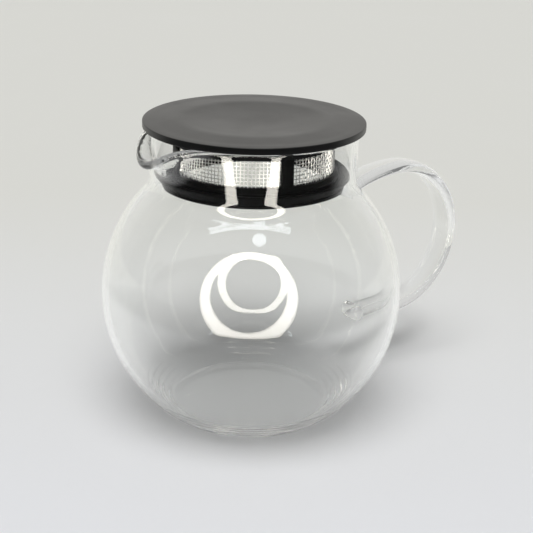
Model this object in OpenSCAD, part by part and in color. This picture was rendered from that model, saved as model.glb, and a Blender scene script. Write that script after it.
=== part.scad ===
// Ball-shaped glass teapot with a lift-out strainer lid.
// Origin at the centre of the base, +Z up, handle towards +X, spout towards -X.

/* [Glass pot] */
// Outer radius of the ball
body_r = 60; // [50:0.5:80]
// Height of the ball's centre above the table
ball_centre = 50; // [42:0.5:56]
// Thickness of the glass wall
glass_wall = 2.2; // [1.6:0.1:3]
// Thickness of the glass floor
floor_thick = 3.6; // [2.5:0.1:5]
// Outer rounding where the ball meets the base
foot_round = 4; // [2:0.5:6]
// Inner rounding where the ball meets the floor
floor_round = 20; // [12:0.5:24]

/* [Neck] */
// Outer radius of the neck
neck_r = 40.4; // [37:0.1:46]
// Height of the rim above the table
rim_z = 117.3; // [112:0.1:130]
// Hollow rounding between the ball and the neck
shoulder_round = 6; // [3:0.5:9]

/* [Spout] */
// Half of the width that the lip takes out of the rim
spout_half_w = 17.2; // [14:0.1:20]
// How far the lip stands out from the neck
spout_overhang = 8.6; // [6:0.1:13]
// How far the lip's tip lies below the rim
spout_drop = 6; // [3:0.5:8]
// Depth of the spout's root below the rim
spout_depth = 17; // [14:0.5:19]
// Radius of the rounded bead along the lip
lip_bead = 1.3; // [1.2:0.05:1.45]

/* [Handle] */
// Thickness of the handle's strap
strap_thick = 5; // [4:0.1:7]
// Width of the handle's strap
strap_width = 12; // [9:0.1:16]
// Radius of the handle's round part, at the middle of the strap
loop_r = 31.7; // [28:0.1:35]
// Distance from the ball to the middle of the strap where it stands out furthest
loop_reach = 44.7; // [40:0.1:55]
// Height of the loop's centre above the ball's centre
loop_rise = 9.4; // [6:0.1:12]
// Radius of the upper leg's gentle bend
upper_leg_r = 68; // [60:1:90]
// How far the weld pads stand out from the ball
pad_height = 1.2; // [0.8:0.1:2]
// How much wider than the strap a weld pad is, on each side
pad_lip = 1.4; // [0.5:0.1:2.5]

/* [Lid] */
// How far the lid stands over the neck's outside
lid_overhang = 2.8; // [1.5:0.1:5]
// Thickness of the lid at its edge
lid_thick = 2.7; // [2.3:0.1:4]
// Gap between the rim and the lid's underside
lid_gap = 0.7; // [0.6:0.1:1.5]
// Rounding of the lid's edge
lid_edge = 0.8; // [0.3:0.1:1.1]
// Radius of the shallow dish in the lid's top
dish_r = 30; // [20:0.5:36]
// Depth of the dish
dish_depth = 0.9; // [0.4:0.1:1.2]
// Height of the spigot under the lid
spigot_h = 2.6; // [1.5:0.1:4]
// Wall of the spigot
spigot_wall = 1.6; // [1:0.1:2.4]

/* [Strainer] */
// Gap between the strainer cage and the neck's inside, where the tea runs to the spout
flow_gap = 5.6; // [4.5:0.1:8]
// Radial thickness of the cage
cage_wall = 2.8; // [2.4:0.1:4]
// Height of the collar under the lid
collar_h = 5.3; // [4.5:0.1:8]
// Height of the mesh window
window_h = 10.4; // [8:0.1:13]
// Height of the lower ring
ring_h = 7; // [6.5:0.1:9]
// Number of posts between collar and ring
post_count = 4; // [3:1:6]
// Width of a post
post_w = 4.8; // [3:0.1:8]
// Turn of the first post from the handle
post_turn = -12.3; // [-60:0.1:60]
// Thickness of the flange that carries the seal
flange_thick = 1.3; // [1:0.1:2]
// Gap between the flange and the neck's inside
flange_gap = 2.7; // [2:0.1:3.4]
// Radius of the bead that keeps the seal on the ring
keeper_r = 0.6; // [0.5:0.05:0.8]
// Clearance of the spigot in the collar
spigot_fit = 0.1; // [0.05:0.05:0.3]

/* [Mesh] */
// Diameter of the mesh wire
wire_d = 0.45; // [0.3:0.05:0.5]
// Distance between neighbouring wires
mesh_pitch = 1.4; // [1.2:0.1:2.4]
// Depth by which the uprights sit in the collar and in the ring
mesh_grip = 1.5; // [1:0.1:2]
// Clearance on each side of the mesh in its slot
mesh_fit = 0.1; // [0.05:0.05:0.2]

/* [Seal] */
// Height of the seal's body
seal_h = 2.3; // [1.8:0.1:2.6]
// Height of the lip's tip above the seal's foot
seal_lip_h = 3.8; // [3:0.1:4.5]
// Thickness of the lip
seal_lip = 0.9; // [0.7:0.05:1.1]
// Gap between the seal's lip and the neck's inside
seal_gap = 0.45; // [0.4:0.05:0.8]
// Clearance of the seal on the ring
seal_fit = 0.2; // [0.15:0.05:0.3]

/* [Hidden] */
$fn = 96;
GLASS = [0.86, 0.9, 0.89, 0.4];
BLACK_PLASTIC = [0.11, 0.11, 0.11];
BLACK_RUBBER = [0.17, 0.17, 0.17];
STEEL = [0.8, 0.8, 0.78];
// Depth by which a rounding's arc crosses the curves that it joins, so that they meet at a point
blend_bite = 0.005;

neck_in = neck_r - glass_wall;
neck_mid = neck_r - glass_wall / 2;
bead_z = rim_z - glass_wall / 2;

lip_from_axis = neck_mid + spout_overhang;
lip_root_x = sqrt(pow(neck_mid, 2) - pow(spout_half_w, 2));
lip_run = norm([lip_from_axis - lip_root_x, spout_drop]);
lip_tilt = atan2(spout_drop, lip_from_axis - lip_root_x);
lip_r = (pow(spout_half_w, 2) + pow(lip_run, 2)) / (2 * lip_run);
lip_out = lip_run - lip_r;
lip_centre = [-lip_root_x - lip_out * cos(lip_tilt), 0, bead_z - lip_out * sin(lip_tilt)];
lip_span = 180 + 2 * asin(lip_out / lip_r);
root = [-neck_in, 0, rim_z - spout_depth] - lip_centre;
cone_h = root * [sin(lip_tilt), 0, -cos(lip_tilt)];
root_r = root * [-cos(lip_tilt), 0, -sin(lip_tilt)];
half_skin = glass_wall / 2 / cos(atan((lip_r - root_r) / cone_h));

loop_x = body_r + loop_reach - loop_r;
loop_z = ball_centre + loop_rise;
upper_leg_sweep = asin((loop_x - neck_mid) / upper_leg_r);

lid_r = neck_r + lid_overhang;
lid_under = rim_z + lid_gap;
lid_top = lid_under + lid_thick;

cage_r = neck_in - flow_gap;
cage_in = cage_r - cage_wall;
collar_z = lid_under - collar_h;
ring_top = collar_z - window_h;
ring_z = ring_top - ring_h;
flange_r = neck_in - flange_gap;

mesh_thick = 3 * wire_d;
mesh_r = cage_r - cage_wall / 4 - mesh_thick / 2;
upright_count = round(2 * PI * mesh_r / mesh_pitch);
hoop_count = floor(window_h / mesh_pitch);
hoop_first = ring_top + (window_h - (hoop_count - 1) * mesh_pitch) / 2;

seal_z = ring_z + flange_thick + seal_fit;
seal_in = cage_r + seal_fit;
seal_tip_r = neck_in - seal_gap - seal_lip / 2;

// Half section of the pot, filled, moved inwards by inset from the outer glass surface.
module vessel_section(inset, floor_z, corner, top) {
    ball = body_r - inset;
    neck = neck_r - inset;
    hollow = shoulder_round + inset;
    hollow_x = neck + hollow;
    hollow_z = ball_centre + sqrt(pow(ball + hollow, 2) - pow(hollow_x, 2));
    corner_z = floor_z + corner;
    corner_x = sqrt(pow(ball - corner, 2) - pow(ball_centre - corner_z, 2));
    corner_at = [corner_x, corner_z];
    corner_out = corner_at + 2 * corner * (corner_at - [0, ball_centre]) / (ball - corner);
    intersection() {
        difference() {
            union() {
                translate([0, ball_centre])
                    circle(ball);
                polygon([[0, ball_centre], [hollow_x, hollow_z], [0, hollow_z]]);
                translate([0, ball_centre])
                    square([neck, top - ball_centre]);
            }
            translate([hollow_x, hollow_z])
                circle(hollow + blend_bite);
            difference() {
                polygon([
                    corner_at, corner_out,
                    [corner_out.x, floor_z - corner], [corner_x, floor_z - corner]
                ]);
                translate(corner_at)
                    circle(corner + blend_bite);
            }
        }
        translate([0, floor_z])
            square([2 * ball, 2 * top]);
    }
}

module outer_section() {
    vessel_section(0, 0, foot_round, bead_z);
}

module inner_section() {
    vessel_section(glass_wall, floor_thick, floor_round, rim_z + lip_r);
}

module glass_section() {
    difference() {
        outer_section();
        inner_section();
    }
    translate([neck_mid, bead_z])
        circle(glass_wall / 2);
}

// Places children in the plane of the lip's round edge, with the tip towards -X.
module at_lip() {
    translate(lip_centre)
        rotate([0, -lip_tilt, 0])
            children();
}

module spout_cone(skin) {
    translate([0, 0, -cone_h])
        cylinder(h = cone_h, r1 = root_r + skin, r2 = lip_r + skin);
}

module spout_channel() {
    at_lip() {
        spout_cone(-half_skin);
        cylinder(h = lip_r, r = lip_r - half_skin);
    }
}

module lip_edge() {
    at_lip()
        rotate(180 - lip_span / 2)
            rotate_extrude(angle = lip_span)
                translate([lip_r, 0])
                    circle(lip_bead);
}

module glass_body() {
    color(GLASS) {
        difference() {
            union() {
                rotate_extrude()
                    glass_section();
                difference() {
                    at_lip()
                        spout_cone(half_skin);
                    rotate_extrude()
                        inner_section();
                }
            }
            spout_channel();
        }
        lip_edge();
    }
}

// Flat strap with round edges, standing across the handle's plane.
module strap_section(grow) {
    thick = strap_thick + 2 * grow;
    straight = strap_width - strap_thick;
    square([thick, straight], center = true);
    for (side = [-1, 1])
        translate([0, side * straight / 2])
            circle(d = thick);
}

// Bends a strap round the Y axis through the origin, from one angle by a sweep.
module strap_bend(radius, from, sweep, grow = 0) {
    rotate([90, 0, 0])
        rotate(from)
            rotate_extrude(angle = sweep)
                translate([radius, 0])
                    strap_section(grow);
}

module upper_leg(grow) {
    translate([loop_x, 0, loop_z + loop_r - upper_leg_r])
        strap_bend(upper_leg_r, 90, upper_leg_sweep, grow);
}

module lower_leg(grow) {
    translate([0, 0, loop_z - loop_r])
        rotate([0, 90, 0])
            linear_extrude(loop_x)
                strap_section(grow);
}

module glass_handle() {
    color(GLASS)
        difference() {
            union() {
                translate([loop_x, 0, loop_z])
                    strap_bend(loop_r, -90, 180);
                upper_leg(0);
                lower_leg(0);
                intersection() {
                    union() {
                        upper_leg(pad_lip);
                        lower_leg(pad_lip);
                    }
                    translate([0, 0, ball_centre])
                        sphere(body_r + pad_height);
                }
            }
            rotate_extrude()
                outer_section();
        }
}

module lid_section() {
    difference() {
        union() {
            translate([0, lid_under])
                square([lid_r - lid_edge, lid_thick]);
            translate([0, lid_under + lid_edge])
                square([lid_r, lid_thick - 2 * lid_edge]);
            for (z = [lid_under + lid_edge, lid_top - lid_edge])
                translate([lid_r - lid_edge, z])
                    circle(lid_edge);
        }
        dish_curve = (pow(dish_r, 2) + pow(dish_depth, 2)) / (2 * dish_depth);
        translate([0, lid_top - dish_depth + dish_curve])
            circle(dish_curve, $fn = 360);
        translate([-lid_r, lid_under])
            square([lid_r, lid_thick]);
    }
    translate([cage_in - spigot_fit - spigot_wall, lid_under - spigot_h])
        square([spigot_wall, spigot_h + lid_thick / 4]);
}

module lid_cap() {
    color(BLACK_PLASTIC)
        rotate_extrude()
            lid_section();
}

module ring_section() {
    translate([cage_in, ring_z])
        square([cage_wall, ring_h]);
    translate([cage_in, ring_z])
        square([flange_r - cage_in, flange_thick]);
    translate([cage_r, seal_z + seal_h + seal_fit + keeper_r])
        circle(keeper_r);
    translate([cage_in, collar_z])
        square([cage_wall, collar_h]);
}

module post(turn) {
    intersection() {
        rotate_extrude()
            translate([cage_in, ring_top - mesh_grip])
                square([cage_wall, window_h + 2 * mesh_grip]);
        rotate(turn)
            translate([0, -post_w / 2, ring_top - mesh_grip])
                cube([cage_r, post_w, window_h + 2 * mesh_grip]);
    }
}

module strainer_frame() {
    color(BLACK_PLASTIC)
        difference() {
            union() {
                rotate_extrude()
                    ring_section();
                for (k = [0 : post_count - 1])
                    post(post_turn + k * 360 / post_count);
            }
            rotate_extrude()
                translate([mesh_r - mesh_thick / 2 - mesh_fit, ring_top - mesh_grip])
                    square([mesh_thick + 2 * mesh_fit, window_h + 2 * mesh_grip]);
        }
}

module mesh_uprights() {
    color(STEEL)
        for (k = [0 : upright_count - 1])
            rotate(k * 360 / upright_count)
                translate([mesh_r, 0, ring_top - mesh_grip])
                    cylinder(h = window_h + 2 * mesh_grip, d = wire_d, $fn = 16);
}

// The hoops lie by turns inside and outside the uprights, as the weft of a plain weave does.
module mesh_hoops() {
    color(STEEL)
        for (k = [0 : hoop_count - 1])
            translate([0, 0, hoop_first + k * mesh_pitch])
                rotate_extrude()
                    translate([mesh_r + (k % 2 == 0 ? wire_d : -wire_d), 0])
                        circle(d = wire_d, $fn = 16);
}

module seal_section() {
    translate([seal_in, seal_z])
        square([flange_r - seal_in, seal_h]);
    polygon([
        [flange_r - seal_lip, seal_z],
        [flange_r, seal_z],
        [seal_tip_r + seal_lip / 2, seal_z + seal_lip_h - seal_lip / 2],
        [seal_tip_r - seal_lip / 2, seal_z + seal_lip_h - seal_lip / 2],
        [flange_r - seal_lip, seal_z + seal_h / 2]
    ]);
    translate([seal_tip_r, seal_z + seal_lip_h - seal_lip / 2])
        circle(seal_lip / 2);
}

module seal_ring() {
    color(BLACK_RUBBER)
        rotate_extrude()
            seal_section();
}

glass_body();
glass_handle();
lid_cap();
strainer_frame();
mesh_uprights();
mesh_hoops();
seal_ring();
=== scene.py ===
# Ball-shaped glass teapot with a strap handle and a lift-out strainer lid.
from math import atan2, cos, exp, pi, radians, sin, sqrt, tan

import bmesh
import bpy
from mathutils import Matrix, Vector


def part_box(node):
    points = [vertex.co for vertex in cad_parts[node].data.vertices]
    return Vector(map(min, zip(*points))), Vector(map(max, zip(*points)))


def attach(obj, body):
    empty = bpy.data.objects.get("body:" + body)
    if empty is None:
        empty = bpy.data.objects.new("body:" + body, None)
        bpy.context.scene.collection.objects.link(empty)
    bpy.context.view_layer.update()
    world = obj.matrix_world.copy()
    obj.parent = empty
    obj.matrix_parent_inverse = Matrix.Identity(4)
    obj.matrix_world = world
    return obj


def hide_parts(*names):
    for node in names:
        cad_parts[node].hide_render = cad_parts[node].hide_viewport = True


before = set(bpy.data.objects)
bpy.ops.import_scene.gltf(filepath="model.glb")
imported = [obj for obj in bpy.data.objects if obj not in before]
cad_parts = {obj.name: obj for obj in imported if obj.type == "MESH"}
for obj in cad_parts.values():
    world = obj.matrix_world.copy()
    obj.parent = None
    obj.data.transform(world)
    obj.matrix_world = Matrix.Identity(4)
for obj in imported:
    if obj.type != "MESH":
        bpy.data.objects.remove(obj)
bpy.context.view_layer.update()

scene = bpy.context.scene

# The view
# A camera a hand's breadth above the lid looks down on the pot from the side,
# with the spout to the left and the handle to the right and a little back.
mm = 0.001
view_turn = radians(35)
camera_away = 473.5 * mm
camera_up = 236.8 * mm
camera_yaw = radians(-0.72)
camera_pitch = radians(-20.5)
camera_roll = radians(-1.33)
focal_pixels = 1255.6
photo_pixels = 533

facing_pot = Matrix.Rotation(-view_turn, 4, "Z")
camera = bpy.data.objects.new("camera", bpy.data.cameras.new("camera"))
camera.data.sensor_width = 36
camera.data.lens = focal_pixels / photo_pixels * camera.data.sensor_width
camera.matrix_world = (
    facing_pot
    @ Matrix.Translation((0, -camera_away, camera_up))
    @ Matrix.Rotation(camera_yaw, 4, "Z")
    @ Matrix.Rotation(pi / 2 + camera_pitch, 4, "X")
    @ Matrix.Rotation(-camera_roll, 4, "Z")
)
scene.collection.objects.link(camera)
scene.camera = camera
scene.view_settings.view_transform = "Standard"


# The table
# A wide sheet of pale matte paper that the pot stands on. It is faintly cloudy and
# carries the pot's soft shadow. Its colour holds painted shade: lighter and bluer in
# front, darker and warmer behind the pot. Out in front and to the sides it is painted
# near black where something mirrors it, a painted dark reflection.
class Signal:
    """A socket in a node tree. Arithmetic on it adds Math nodes to the tree."""

    def __init__(self, tree, socket=None):
        self.tree = tree
        self.socket = socket

    def node(self, kind, inputs=None, out=0, **settings):
        """Adds a node, with its settings first and then its sockets' values or links."""
        made = self.tree.nodes.new("ShaderNode" + kind)
        for name, value in settings.items():
            setattr(made, name, value)
        for name, value in (inputs or {}).items():
            if isinstance(value, Signal):
                self.tree.links.new(value.socket, made.inputs[name])
            else:
                made.inputs[name].default_value = value
        return Signal(self.tree, made.outputs[out] if made.outputs else None)

    def math(self, operation, first, second):
        return self.node("Math", {0: first, 1: second}, operation=operation)

    def __add__(self, other):
        return self.math("ADD", self, other)

    def __sub__(self, other):
        return self.math("SUBTRACT", self, other)

    def __rsub__(self, other):
        return self.math("SUBTRACT", other, self)

    def __mul__(self, other):
        return self.math("MULTIPLY", self, other)

    def __pow__(self, other):
        return self.math("POWER", self, other)

    __radd__ = __add__
    __rmul__ = __mul__


def cloud(place, size, detail=2.0):
    """Smooth noise from 0 to 1 with spots of about the given size."""
    return place.node("TexNoise", {"Vector": place, "Scale": 1 / size, "Detail": detail})


def tint(factor, low, high):
    """Goes from one colour to another with the factor."""
    return factor.node("Mix", {0: factor, 6: low, 7: high}, 2, data_type="RGBA")


def along(place, way):
    """How far a place lies in a direction."""
    return place.node("VectorMath", {0: place, 1: way}, "Value", operation="DOT_PRODUCT")


def ramp(value, low, high, top=1.0, shape="LINEAR"):
    """Goes from 0 to the top as a value goes from low to high."""
    limits = {"Value": value, "From Min": low, "From Max": high, "To Max": top}
    return value.node("MapRange", limits, interpolation_type=shape)


def bounced(place, way):
    """1 where light is seen by way of a reflection or through glass, and 0 elsewhere."""
    depth = place.node("LightPath", out=way + " Depth")
    return depth.math("MINIMUM", depth, 1)


def mirrored(place):
    """1 where light is seen by way of one reflection, and less after more of them."""
    depth = place.node("LightPath", out="Glossy Depth")
    again = depth.math("GREATER_THAN", depth, 1.5)
    return bounced(place, "Glossy") - again_share * again


def relief(height, depth, strength=1.0):
    """A bump of the given depth from a height that goes from 0 to 1."""
    return height.node("Bump", {"Height": height, "Distance": depth, "Strength": strength})


def new_material(name, recipe):
    """A material with one Principled shader, whose inputs the recipe gives from the place."""
    material = bpy.data.materials.new(name)
    material.use_nodes = True
    material.node_tree.nodes.clear()
    place = Signal(material.node_tree).node("TexCoord", out="Object")
    place.node("OutputMaterial", {"Surface": place.node("BsdfPrincipled", recipe(place))})
    return material


def paper(place):
    behind = along(place, behind_pot)
    # Painted shade: the paper's colour goes from lighter and bluer in front to darker and warmer
    # behind the pot, for how the light falls on it.
    far = ramp(behind, painted_shade_from, painted_shade_to)
    shade = far + blotch * cloud(place, blotch_size) - blotch_middle
    away = place.node("VectorMath", {0: place}, "Value", operation="LENGTH")
    # Painted reflection: from 190 to 250 mm out from the pot, on the camera's side, the paper is
    # painted near black where glass or wire mirrors it.
    dark = ramp(away, painted_dark_from, painted_dark_to) * ramp(behind, painted_dark_back, 0) * mirrored(place)
    return {
        "Base Color": tint(dark, tint(shade, paper_painted_lit, paper_painted_shade), painted_dark_reflection),
        "Roughness": 0.9,
        "Specular IOR Level": 0.1,
    }


table_half = 2500 * mm
table_drop = 0.25 * mm
# Painted shade on the paper: where its colour starts and stops changing, and its colour in front
# and behind.
painted_shade_from = -150 * mm
painted_shade_to = 280 * mm
paper_painted_lit = (0.83, 0.84, 0.87, 1)
paper_painted_shade = (0.75, 0.75, 0.71, 1)
blotch = 0.15
blotch_middle = 0.07
blotch_size = 150 * mm
again_share = 0.2
# Painted dark reflection on the paper: how far out it starts and ends, how far behind the pot it
# reaches, and its colour.
painted_dark_from = 190 * mm
painted_dark_to = 250 * mm
painted_dark_back = 150 * mm
painted_dark_reflection = (0.03, 0.03, 0.03, 1)
behind_pot = facing_pot @ Vector((0, 1, 0))

bm = bmesh.new()
bmesh.ops.create_grid(bm, x_segments=1, y_segments=1, size=table_half)
bmesh.ops.translate(bm, verts=bm.verts, vec=(0, 0, -table_drop))
table_mesh = bpy.data.meshes.new("table")
bm.to_mesh(table_mesh)
bm.free()
table_mesh.materials.append(new_material("paper", paper))
table = bpy.data.objects.new("table", table_mesh)
scene.collection.objects.link(table)

# The light
# Soft daylight comes from a window and a pale ceiling. A ring lamp, a small round lamp
# and two tubes show only where glass and wire mirror them, and the room is pale all
# round but for a dark place behind the camera. Thick glass edges need many bounces.
light_bounces = 160
window_turn = radians(9.1)
window_rise = radians(58.6)
window_soft = radians(16)
window_strength = 0.62
ceiling_turn = radians(-5)
ceiling_rise = radians(70)
ceiling_soft = radians(46)
ceiling_strength = 1.52
glint_rise = radians(14)
glint_soft = radians(40)
glint_strength = 1.3
ring_away = 250 * mm
ring_up = 143 * mm
ring_side = -10 * mm
ring_inner = 128 * mm
ring_outer = 170 * mm
ring_colour = (1, 0.965, 0.88, 1)
ring_strength = 9.0
lamp_far = 1000 * mm
lamp_radius = 80 * mm
lamp_sides = 96
lamp_colour = (0.9, 0.96, 1, 1)
lamp_strength = 5.0
tube_up = 1200 * mm
tube_long = 640 * mm
tube_thick = 15 * mm
tube_strength = 8.0
tubes = ((-45 * mm, -415 * mm), (-45 * mm, -485 * mm))
room_light = (0.29, 0.29, 0.29, 1)
room_plain = (0.66, 0.66, 0.65, 1)
room_near = (0.05, 0.05, 0.05, 1)
room_side = (0.32, 0.32, 0.32, 1)
room_far = (0.94, 0.925, 0.885, 1)
far_from, far_to = 0.0, 0.9
side_from, side_to = -0.85, -0.45
overhead_from, overhead_to = 0.93, 1.0
overhead_light = 2.5

scene.cycles.max_bounces = light_bounces
scene.cycles.glossy_bounces = light_bounces
scene.cycles.transmission_bounces = light_bounces

matte_things = bpy.data.collections.new("matte_things")
glass_things = bpy.data.collections.new("glass_things")
clear_of_sun = bpy.data.collections.new("clear_of_sun")
wire_things = bpy.data.collections.new("wire_things")


def daylight(name, turn, rise, soft, strength):
    """Soft light from one direction, of which the glass shows no glint."""
    towards = Vector((sin(turn) * cos(rise), -cos(turn) * cos(rise), sin(rise)))
    sun = bpy.data.objects.new(name, bpy.data.lights.new(name, "SUN"))
    sun.data.energy = strength
    sun.data.angle = soft
    sun.matrix_world = facing_pot @ towards.to_track_quat("Z", "Y").to_matrix().to_4x4()
    sun.light_linking.receiver_collection = glass_things
    scene.collection.objects.link(sun)
    return sun


window = daylight("window", window_turn, window_rise, window_soft, window_strength)
window.light_linking.blocker_collection = clear_of_sun
daylight("ceiling", ceiling_turn, ceiling_rise, ceiling_soft, ceiling_strength)
glint = daylight("ring_glint", 0, glint_rise, glint_soft, glint_strength)
glint.light_linking.receiver_collection = wire_things
glint.light_linking.blocker_collection = clear_of_sun


def lamp(name, bm, matrix, colour, strength):
    """A flat lamp that is seen only where something mirrors it."""
    glow = bpy.data.materials.new(name)
    glow.use_nodes = True
    glow.node_tree.nodes.clear()
    air = Signal(glow.node_tree)
    seen_through = air.node("LightPath", out="Is Transmission Ray") * (1 - bounced(air, "Glossy"))
    shown = strength * (1 - seen_through)
    air.node(
        "OutputMaterial", {"Surface": air.node("Emission", {"Color": colour, "Strength": shown})}
    )
    bmesh.ops.transform(bm, matrix=matrix, verts=bm.verts)
    mesh = bpy.data.meshes.new(name)
    bm.to_mesh(mesh)
    bm.free()
    mesh.materials.append(glow)
    made = bpy.data.objects.new(name, mesh)
    made.visible_camera = False
    made.visible_diffuse = False
    made.visible_shadow = False
    made.light_linking.receiver_collection = matte_things
    scene.collection.objects.link(made)


def leave_out(things, thing):
    """Takes a thing out of what a light shines on or is stopped by."""
    things.objects.link(thing)
    for member in things.collection_objects:
        member.light_linking.link_state = "EXCLUDE"


bm = bmesh.new()
bmesh.ops.create_circle(bm, cap_ends=True, radius=ring_outer, segments=lamp_sides)
middle = bm.faces[:]
bmesh.ops.inset_region(bm, faces=middle, thickness=ring_outer - ring_inner, use_boundary=True)
bmesh.ops.delete(bm, geom=middle, context="FACES")
upright = Matrix.Rotation(-pi / 2, 4, "X")
ring_place = facing_pot @ Matrix.Translation((ring_side, -ring_away, ring_up)) @ upright
lamp("ring_lamp", bm, ring_place, ring_colour, ring_strength)

bm = bmesh.new()
bmesh.ops.create_circle(bm, cap_ends=True, radius=lamp_radius, segments=lamp_sides)
lamp_place = window.matrix_world @ Matrix.Translation((0, 0, lamp_far))
lamp("round_lamp", bm, lamp_place, lamp_colour, lamp_strength)

for k, (x, y) in enumerate(tubes):
    bm = bmesh.new()
    bmesh.ops.create_grid(bm, x_segments=1, y_segments=1, size=1)
    tube_place = facing_pot @ Matrix.Translation((x, y, tube_up))
    tube_place @= Matrix.Diagonal((tube_long, tube_thick, 1, 1))
    lamp(f"tube_lamp_{k}", bm, tube_place, lamp_colour, tube_strength)
leave_out(matte_things, table)

world = bpy.data.worlds.new("room")
scene.world = world
world.use_nodes = True
world.node_tree.nodes.clear()
sky = Signal(world.node_tree)
towards = sky.node("TexCoord", out="Generated")
depth = along(towards, behind_pot)
share = ramp(depth, far_from, far_to, shape="SMOOTHSTEP")
overhead = ramp(along(towards, (0, 0, 1)), overhead_from, overhead_to, overhead_light)
lit = ramp(depth, side_from, side_to) + overhead
direct = sky.node("LightPath", out="Is Camera Ray")
direct += sky.node("LightPath", out="Is Transmission Ray")
seen = tint(direct, room_light, room_plain)
far_end = tint(bounced(share, "Transmission"), room_far, room_plain)
near_end = lit.node(
    "Mix", {0: lit, 6: room_near, 7: room_side}, 2, data_type="RGBA", clamp_factor=False
)
seen = tint(mirrored(share), seen, tint(share, near_end, far_end))
room = share.node("Background", {"Color": seen})
room.node("OutputWorld", {"Surface": room})


# The pot
# One blown piece of clear heat-proof glass: a ball with a flat base and a short neck.
# The rim is fire-polished round, and a pouring lip is pulled out of it while soft,
# which leaves its edge thicker and faintly wavy.
class Outline:
    """Half section of a turned piece, drawn from point to point in the XZ plane."""

    def __init__(self, x, z):
        self.bm = bmesh.new()
        self.first = self.bm.verts.new((x, 0, z))
        self.last = self.first

    def line(self, x, z, steps=1):
        start = self.last.co.copy()
        for k in range(1, steps + 1):
            self.last = bmesh.ops.extrude_vert_indiv(self.bm, verts=[self.last])["verts"][0]
            self.last.co = start.lerp((x, 0, z), k / steps)

    def arc(self, x, z, turn, steps):
        """Turns the last point about a centre, anticlockwise where turn is positive."""
        made = bmesh.ops.spin(
            self.bm, geom=[self.last], cent=(x, 0, z), axis=(0, -1, 0), angle=turn, steps=steps
        )
        self.last = next(g for g in made["geom_last"] if isinstance(g, bmesh.types.BMVert))

    def turned(self, steps, shut=False):
        """The solid that the outline sweeps round the Z axis."""
        if shut:
            self.bm.edges.new((self.last, self.first))
        bmesh.ops.spin(
            self.bm,
            geom=self.bm.verts[:] + self.bm.edges[:],
            cent=(0, 0, 0),
            axis=(0, 0, 1),
            angle=2 * pi,
            steps=steps,
            use_merge=True,
        )
        bmesh.ops.remove_doubles(self.bm, verts=self.bm.verts, dist=0.001 * mm)
        bmesh.ops.recalc_face_normals(self.bm, faces=self.bm.faces)
        return self.bm


sharp_from = radians(38)


def make_piece(bm, name, material, body, node):
    """Shades a mesh smooth between its sharp edges and puts it in its node's place."""
    for face in bm.faces:
        face.smooth = True
    for edge in bm.edges:
        edge.smooth = edge.calc_face_angle(0) < sharp_from
    mesh = bpy.data.meshes.new(name)
    bm.to_mesh(mesh)
    bm.free()
    mesh.materials.append(material)
    piece = bpy.data.objects.new(name, mesh)
    scene.collection.objects.link(piece)
    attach(piece, body)
    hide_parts(node)
    return piece


ball_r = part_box("glass_body")[1].y
rim_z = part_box("glass_body")[1].z
ball_z = 50 * mm
wall = 2.2 * mm
floor_z = 3.6 * mm
foot_round = 4 * mm
floor_round = 24 * mm
neck_r = 40.4 * mm
shoulder_round = 9 * mm
foot_turn = radians(-37)
ripple = 0.10 * mm
ripple_pitch = 2.1 * mm
ripple_top = 11 * mm
lip_out = 7.7 * mm
lip_drop = 6.9 * mm
lip_foot_z = 99 * mm
lip_out_turn = radians(18)
lip_drop_turn = radians(13.3)
lip_out_bend = 2.0
lip_drop_bend = 1.5
lip_flare = 1.6 * mm
lip_flare_turn = radians(30)
lip_flare_bend = 7
lip_reach = radians(60)
lip_probe = radians(0.5)
lip_swell = 0.55
lip_swell_turn = radians(24)
lip_swell_h = 2 * mm
pot_sides = 192
wave_size = 30 * mm
wave_high = 0.015
pull_size = 1.5 * mm
pull_high = 0.12
pull_x = (37 * mm, 43 * mm)
pull_z = (106 * mm, 109 * mm)
wave_depth = 1 * mm
glass_green = (0.975, 0.985, 0.98, 1)
glass_clear = (0.995, 0.995, 0.99, 1)

neck_in = neck_r - wall
bead_z = rim_z - wall / 2
hollow_x = neck_r + shoulder_round
hollow_z = ball_z + sqrt((ball_r + shoulder_round) ** 2 - hollow_x**2)
shoulder_angle = atan2(hollow_z - ball_z, hollow_x)


def floor_corner(ball, low, corner):
    """Centre of the rounding between the ball and a flat floor, and its angle on the ball."""
    z = low + corner
    x = sqrt((ball - corner) ** 2 - (ball_z - z) ** 2)
    return x, z, atan2(z - ball_z, x)


foot_x, foot_z, foot_angle = floor_corner(ball_r, 0, foot_round)
bowl_x, bowl_z, bowl_angle = floor_corner(ball_r - wall, floor_z, floor_round)
pot = Outline(0, 0)
pot.line(foot_x, 0, 8)
pot.arc(foot_x, foot_z, foot_angle + pi / 2, 6)
pot.arc(0, ball_z, foot_turn - foot_angle, 64)
for vert in pot.bm.verts:
    if 0 < vert.co.z < ripple_top:
        outwards = (vert.co - Vector((0, 0, ball_z))).normalized()
        wave = sin(2 * pi * vert.co.z / ripple_pitch) * sin(pi * vert.co.z / ripple_top)
        vert.co += outwards * ripple * wave
pot.arc(0, ball_z, shoulder_angle - foot_turn, 84)
pot.arc(hollow_x, hollow_z, -shoulder_angle, 24)
pot.line(neck_r, bead_z, 24)
pot.arc(neck_r - wall / 2, bead_z, pi, 10)
pot.line(neck_in, hollow_z, 24)
pot.arc(hollow_x, hollow_z, shoulder_angle, 24)
pot.arc(0, ball_z, bowl_angle - shoulder_angle, 84)
pot.arc(bowl_x, bowl_z, -pi / 2 - bowl_angle, 12)
pot.line(0, floor_z, 8)
bm = pot.turned(pot_sides)


def lip_point(turn, z):
    """Where the middle of the neck's wall lies once the lip is pulled out."""
    rise = max((z - lip_foot_z) / (bead_z - lip_foot_z), 0)
    r = neck_r - wall / 2 + lip_out * exp(-((turn / lip_out_turn) ** 2)) * rise**lip_out_bend
    r += lip_flare * exp(-((turn / lip_flare_turn) ** 4)) * rise**lip_flare_bend
    fall = lip_drop * exp(-((turn / lip_drop_turn) ** 2)) * rise**lip_drop_bend
    return Vector((-r * cos(turn), r * sin(turn), z - fall))


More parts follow.
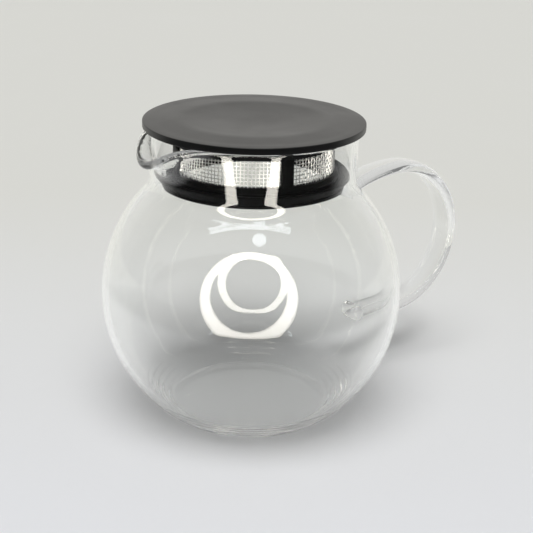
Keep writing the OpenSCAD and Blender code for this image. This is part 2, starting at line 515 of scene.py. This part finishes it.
for vert in bm.verts:
    turn = atan2(vert.co.y, -vert.co.x)
    if vert.co.z > lip_foot_z and abs(turn) < lip_reach:
        z = min(vert.co.z, bead_z)
        middle = lip_point(turn, z)
        rim_way = lip_point(turn + lip_probe, z) - lip_point(turn - lip_probe, z)
        up = lip_point(turn, z + lip_probe * mm) - lip_point(turn, z - lip_probe * mm)
        out = up.cross(rim_way).normalized()
        up = rim_way.cross(out).normalized()
        soft = exp(-((turn / lip_swell_turn) ** 2)) * exp((z - bead_z) / lip_swell_h)
        side = Vector((vert.co.x, vert.co.y, 0)).length - (neck_r - wall / 2)
        vert.co = middle + (out * side + up * (vert.co.z - z)) * (1 + lip_swell * soft)


def blown_glass(place):
    on_lip = ramp(along(place, (-1, 0, 0)), *pull_x) * ramp(along(place, (0, 0, 1)), *pull_z)
    waves = wave_high * cloud(place, wave_size, 1.0)
    waves += pull_high * on_lip * cloud(place, pull_size, 1.0)
    return {
        "Base Color": tint(cloud(place, 50 * mm), glass_green, glass_clear),
        "Roughness": 0.012 * cloud(place, 8 * mm) ** 3,
        "IOR": 1.47,
        "Transmission Weight": 1.0,
        "Normal": relief(waves, wave_depth),
    }


clear_glass = new_material("clear_glass", blown_glass)
blown_pot = make_piece(bm, "blown_pot", clear_glass, "pot", "glass_body")
leave_out(glass_things, blown_pot)
leave_out(clear_of_sun, blown_pot)

# The handle
# A flattened glass rod, bent hot into a loop. Both ends are flame-welded to the ball,
# where the soft glass has spread into a low foot.
strap_thick = 5 * mm
strap_width = 12 * mm
strap_square = 2.8
strap_sides = 36
loop_r = 31.7 * mm
loop_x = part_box("glass_handle")[1].x - loop_r - strap_thick / 2
loop_z = 59.4 * mm
leg_r = 68 * mm
leg_turn = radians(16.5)
weld_gap = 0.03 * mm
weld_rings = ((6 * mm, 1.0), (4 * mm, 1.01), (2 * mm, 1.05), (0.8 * mm, 1.13), (0, 1.28))
ball_centre = Vector((0, 0, ball_z))


def bend(bm, ring, x, z, turn, steps):
    """Sweeps the strap's end about a centre in the handle's plane."""
    made = bmesh.ops.spin(
        bm, geom=ring, cent=(x, 0, z), axis=(0, -1, 0), angle=turn, steps=steps
    )
    return made["geom_last"]


def next_ring(bm, edges):
    """Extrudes a closed loop of edges and gives the new loop's points and edges."""
    made = bmesh.ops.extrude_edge_only(bm, edges=edges)["geom"]
    verts = [g for g in made if isinstance(g, bmesh.types.BMVert)]
    edges = [g for g in made if isinstance(g, bmesh.types.BMEdge)]
    return verts, [e for e in edges if all(v in verts for v in e.verts)]


def weld(bm, ring, heading):
    """Runs the strap's end straight on to the ball and spreads it there into a foot."""
    verts = [g for g in ring if isinstance(g, bmesh.types.BMVert)]
    edges = [g for g in ring if isinstance(g, bmesh.types.BMEdge)]
    middle = sum((v.co for v in verts), Vector()) / len(verts)
    last_spread = 1
    for height, spread in weld_rings:
        verts, edges = next_ring(bm, edges)
        for vert in verts:
            aside = vert.co - middle
            aside -= heading * aside.dot(heading)
            start = middle + aside * spread / last_spread - ball_centre
            ahead = -start.dot(heading)
            reach = (ball_r + weld_gap + height) ** 2 - start.length_squared + ahead**2
            vert.co = ball_centre + start + heading * (ahead - sqrt(reach))
        last_spread = spread
    cap = bmesh.ops.edgeloop_fill(bm, edges=edges)["faces"]
    poked = bmesh.ops.poke(bm, faces=cap)
    hub = poked["verts"][0]
    hub.co = ball_centre + (hub.co - ball_centre).normalized() * (ball_r + weld_gap)
    for face in poked["faces"]:
        face.material_index = 1


bm = bmesh.new()
bmesh.ops.create_circle(bm, radius=0.5, segments=strap_sides)
for vert in bm.verts:
    squared = sum(abs(2 * c) ** strap_square for c in vert.co) ** (-1 / strap_square)
    vert.co *= squared
bmesh.ops.scale(bm, verts=bm.verts, vec=(strap_thick, strap_width, 1))
bmesh.ops.rotate(bm, verts=bm.verts, matrix=Matrix.Rotation(pi / 2, 3, "Y"))
bmesh.ops.translate(bm, verts=bm.verts, vec=(loop_x, 0, loop_z + loop_r))
top_ring = bm.verts[:] + bm.edges[:]
upper_end = bend(bm, top_ring, loop_x, loop_z + loop_r - leg_r, leg_turn, 10)
lower_end = bend(bm, top_ring, loop_x, loop_z, -pi, 40)
weld(bm, upper_end, Vector((-cos(leg_turn), 0, -sin(leg_turn))))
weld(bm, lower_end, Vector((-1, 0, 0)))
bmesh.ops.recalc_face_normals(bm, faces=bm.faces)


def fused_glass(place):
    """The strap's ends run into the ball's glass, so light passes there unbent."""
    return {"Base Color": (1, 1, 1, 1), "Roughness": 0, "IOR": 1.0, "Transmission Weight": 1.0}


handle = make_piece(bm, "strap_handle", clear_glass, "pot", "glass_handle")
handle.data.materials.append(new_material("fused_glass", fused_glass))
leave_out(glass_things, handle)

# The lid
# A moulded disc of matte black plastic. Its top has a soft dish, its edge is rounded,
# and a short spigot below plugs into the strainer's collar.
lid_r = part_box("lid_cap")[1].x
lid_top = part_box("lid_cap")[1].z
spigot_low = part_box("lid_cap")[0].z
lid_under = 117.7 * mm
lid_edge = 0.35 * mm
spigot_r = 29.7 * mm
spigot_wall = 1.6 * mm
crown_x = 29.5 * mm
crown_r = 35 * mm
crown_fall = radians(2.6)
dish_fall = radians(4.8)
trough_x = 39.5 * mm
trough_r = 60 * mm
round_sides = 160
grain_size = 0.35 * mm
grain_depth = 0.02 * mm
patch_size = 14 * mm
plastic_dark = (0.0035, 0.0035, 0.0034, 1)
plastic_light = (0.0055, 0.0055, 0.0053, 1)

brow_x = crown_x + crown_r * sin(crown_fall)
brow_z = lid_top - crown_r * (1 - cos(crown_fall))
rise_x = trough_x - trough_r * sin(crown_fall)
rise_z = brow_z - (rise_x - brow_x) * tan(crown_fall)
edge_z = rise_z - trough_r * (1 - cos(crown_fall))
dish_x = crown_x - crown_r * sin(dish_fall)
dish_z = lid_top - crown_r * (1 - cos(dish_fall))
dish_r = dish_x / sin(dish_fall)
lid = Outline(0, lid_under)
lid.line(spigot_r - spigot_wall, lid_under)
lid.line(spigot_r - spigot_wall, spigot_low)
lid.line(spigot_r, spigot_low)
lid.line(spigot_r, lid_under)
lid.line(lid_r - lid_edge, lid_under, 3)
lid.arc(lid_r - lid_edge, lid_under + lid_edge, pi / 2, 5)
lid.line(lid_r, edge_z - lid_edge)
lid.arc(lid_r - lid_edge, edge_z - lid_edge, pi / 2, 5)
lid.line(trough_x, edge_z)
lid.arc(trough_x, edge_z + trough_r, -crown_fall, 6)
lid.line(brow_x, brow_z, 3)
lid.arc(crown_x, lid_top - crown_r, crown_fall + dish_fall, 12)
lid.arc(0, dish_z + dish_r * cos(dish_fall), -dish_fall, 16)


def moulded_plastic(place):
    grain = cloud(place, grain_size, 3.0)
    patch = cloud(place, patch_size)
    return {
        "Base Color": tint(patch, plastic_dark, plastic_light),
        "Roughness": 0.29 + 0.10 * patch + 0.06 * grain,
        "Specular IOR Level": 0.4,
        "Normal": relief(grain, grain_depth, 0.5),
    }


black_plastic = new_material("black_plastic", moulded_plastic)
bm = lid.turned(round_sides)
dished_lid = make_piece(bm, "dished_lid", black_plastic, "lid", "lid_cap")
leave_out(matte_things, dished_lid)

# The strainer cage
# A second black moulding, duller than the lid: a collar that grips the spigot, four
# posts and a lower ring, with a flange and a small bead that keep the seal in place.
cage_low, cage_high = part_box("strainer_frame")
flange_r = cage_high.x
cage_r = 32.6 * mm
cage_wall = 2.8 * mm
ring_h = 7 * mm
flange_thick = 1.3 * mm
keeper_r = 0.6 * mm
keeper_z = 99.9 * mm
collar_h = 5.3 * mm
post_count = 4
post_turn = radians(-12.3)
post_wide = 4.8 * mm
post_bite = 0.4 * mm
edge_soft = 0.25 * mm

cage_in = cage_r - cage_wall
ring_top = cage_low.z + ring_h
collar_low = cage_high.z - collar_h


def soften(bm, width):
    """Rounds the sharp edges a little, as a mould does."""
    sharp = [e for e in bm.edges if e.calc_face_angle(0) > sharp_from]
    bmesh.ops.bevel(
        bm, geom=sharp, offset=width, segments=2, profile=0.5, affect="EDGES", material=-1
    )


ring = Outline(cage_in, cage_low.z)
ring.line(flange_r, cage_low.z)
ring.line(flange_r, cage_low.z + flange_thick)
ring.line(cage_r, cage_low.z + flange_thick)
ring.line(cage_r, keeper_z - keeper_r)
ring.arc(cage_r, keeper_z, pi, 8)
ring.line(cage_r, ring_top)
ring.line(cage_in, ring_top)
bm = ring.turned(round_sides, shut=True)
collar = Outline(cage_in, collar_low)
collar.line(cage_r, collar_low)
collar.line(cage_r, cage_high.z)
collar.line(cage_in, cage_high.z)
collar_mesh = bpy.data.meshes.new("collar")
collar_bm = collar.turned(round_sides, shut=True)
collar_bm.to_mesh(collar_mesh)
collar_bm.free()
bm.from_mesh(collar_mesh)
bpy.data.meshes.remove(collar_mesh)
post_half = post_wide / 2 / cage_r
for k in range(post_count):
    turn = post_turn + k * 2 * pi / post_count - post_half
    side = bmesh.ops.create_grid(bm, x_segments=1, y_segments=1, size=0.5)["verts"]
    bmesh.ops.scale(bm, vec=(cage_wall, collar_low - ring_top + 2 * post_bite, 1), verts=side)
    bmesh.ops.rotate(bm, matrix=Matrix.Rotation(pi / 2, 3, "X"), verts=side)
    bmesh.ops.translate(
        bm, vec=(cage_r - cage_wall / 2, 0, (ring_top + collar_low) / 2), verts=side
    )
    bmesh.ops.rotate(bm, matrix=Matrix.Rotation(turn, 3, "Z"), verts=side)
    face = side[0].link_faces[0]
    bmesh.ops.spin(
        bm,
        geom=[face, *face.edges, *face.verts],
        cent=(0, 0, 0),
        axis=(0, 0, 1),
        angle=2 * post_half,
        steps=4,
    )
bmesh.ops.recalc_face_normals(bm, faces=bm.faces)
soften(bm, edge_soft)


def cage_plastic(place):
    return moulded_plastic(place) | {"Specular IOR Level": 0.1}


dull_plastic = new_material("cage_plastic", cage_plastic)
cage = make_piece(bm, "strainer_cage", dull_plastic, "lid", "strainer_frame")
leave_out(matte_things, cage)

# The mesh
# A band of plain-woven steel wire that is moulded into the cage between ring and collar.
# Upright wires and hoops pass over and under each other by turns.
wire_d = 0.40 * mm
mesh_r = 31.225 * mm
upright_count = 140
hoop_count = 7
hoop_first = 103.3 * mm
mesh_pitch = 1.4 * mm
mesh_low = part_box("mesh_uprights")[0].z
mesh_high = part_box("mesh_uprights")[1].z
weave = 0.15 * mm
wire_sides = 6
dull_size = 0.6 * mm
steel_dull = (0.78, 0.77, 0.75, 1)
steel_bright = (0.90, 0.89, 0.87, 1)
wire_step = 2 * pi / upright_count


def bow(vert, sign):
    """Pushes a point of a wire out of the band or in, by turns from crossing to crossing."""
    row = round((vert.co.z - hoop_first) / mesh_pitch)
    wire = round(atan2(vert.co.y, vert.co.x) / wire_step)
    away = Vector((vert.co.x, vert.co.y, 0)).normalized()
    vert.co += away * weave * sign * (-1) ** (row + wire)


def drawn_steel(place):
    dull = cloud(place, dull_size)
    return {
        "Base Color": tint(dull, steel_dull, steel_bright),
        "Metallic": 1.0,
        "Roughness": 0.26 + 0.16 * dull,
    }


steel = new_material("steel_wire", drawn_steel)
levels = [mesh_low, *(hoop_first + k * mesh_pitch for k in range(hoop_count)), mesh_high]
bm = bmesh.new()
bmesh.ops.create_circle(bm, radius=wire_d / 2, segments=wire_sides)
bmesh.ops.translate(bm, verts=bm.verts, vec=(mesh_r, 0, mesh_low))
edges = bm.edges[:]
bmesh.ops.contextual_create(bm, geom=edges)
for level in levels[1:]:
    verts, edges = next_ring(bm, edges)
    for vert in verts:
        vert.co.z = level
bmesh.ops.contextual_create(bm, geom=edges)
bmesh.ops.recalc_face_normals(bm, faces=bm.faces)
bmesh.ops.spin(
    bm,
    geom=bm.verts[:] + bm.edges[:] + bm.faces[:],
    cent=(0, 0, 0),
    axis=(0, 0, 1),
    angle=2 * pi - wire_step,
    steps=upright_count - 1,
    use_duplicate=True,
)
for vert in bm.verts:
    if mesh_low < vert.co.z < mesh_high:
        bow(vert, 1)
uprights = make_piece(bm, "woven_uprights", steel, "lid", "mesh_uprights")
wire_things.objects.link(uprights)

bm = bmesh.new()
for row in range(hoop_count):
    section = bmesh.ops.create_circle(bm, radius=wire_d / 2, segments=wire_sides)["verts"]
    bmesh.ops.rotate(bm, verts=section, matrix=Matrix.Rotation(pi / 2, 3, "X"))
    bmesh.ops.translate(bm, verts=section, vec=(mesh_r, 0, hoop_first + row * mesh_pitch))
    bmesh.ops.spin(
        bm,
        geom=section + list({e for v in section for e in v.link_edges}),
        cent=(0, 0, 0),
        axis=(0, 0, 1),
        angle=2 * pi,
        steps=upright_count,
        use_merge=True,
    )
bmesh.ops.recalc_face_normals(bm, faces=bm.faces)
for vert in bm.verts:
    bow(vert, -1)
hoops = make_piece(bm, "woven_hoops", steel, "lid", "mesh_hoops")
wire_things.objects.link(hoops)

# The seal
# A ring of soft black silicone, stretched over the cage's bead on to the ring. Its thin
# lip leans out and up and wipes the inside of the neck.
seal_low, seal_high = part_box("seal_ring")
seal_in = 32.8 * mm
seal_h = 2.3 * mm
seal_lip = 0.9 * mm
seal_step = 0.25 * mm
seal_soft = 0.18 * mm
dust_size = 2 * mm
skin_size = 0.5 * mm
skin_depth = 0.01 * mm
silicone_dark = (0.002, 0.002, 0.002, 1)
silicone_light = (0.004, 0.004, 0.004, 1)

lip_r = seal_high.x - seal_lip / 2
lip_z = seal_high.z - seal_lip / 2
seal = Outline(seal_in, seal_low.z)
seal.line(flange_r, seal_low.z)
seal.line(lip_r + seal_lip / 2, lip_z, 4)
seal.arc(lip_r, lip_z, pi, 6)
seal.line(flange_r + seal_step, seal_low.z + seal_h, 3)
seal.line(seal_in, seal_low.z + seal_h)
bm = seal.turned(round_sides, shut=True)
soften(bm, seal_soft)


def silicone(place):
    dust = cloud(place, dust_size, 4.0)
    return {
        "Base Color": tint(dust, silicone_dark, silicone_light),
        "Roughness": 0.45 + 0.15 * dust,
        "Specular IOR Level": 0.1,
        "Normal": relief(cloud(place, skin_size), skin_depth, 0.5),
    }


black_silicone = new_material("black_silicone", silicone)
lip_seal = make_piece(bm, "lip_seal", black_silicone, "seal", "seal_ring")
leave_out(matte_things, lip_seal)
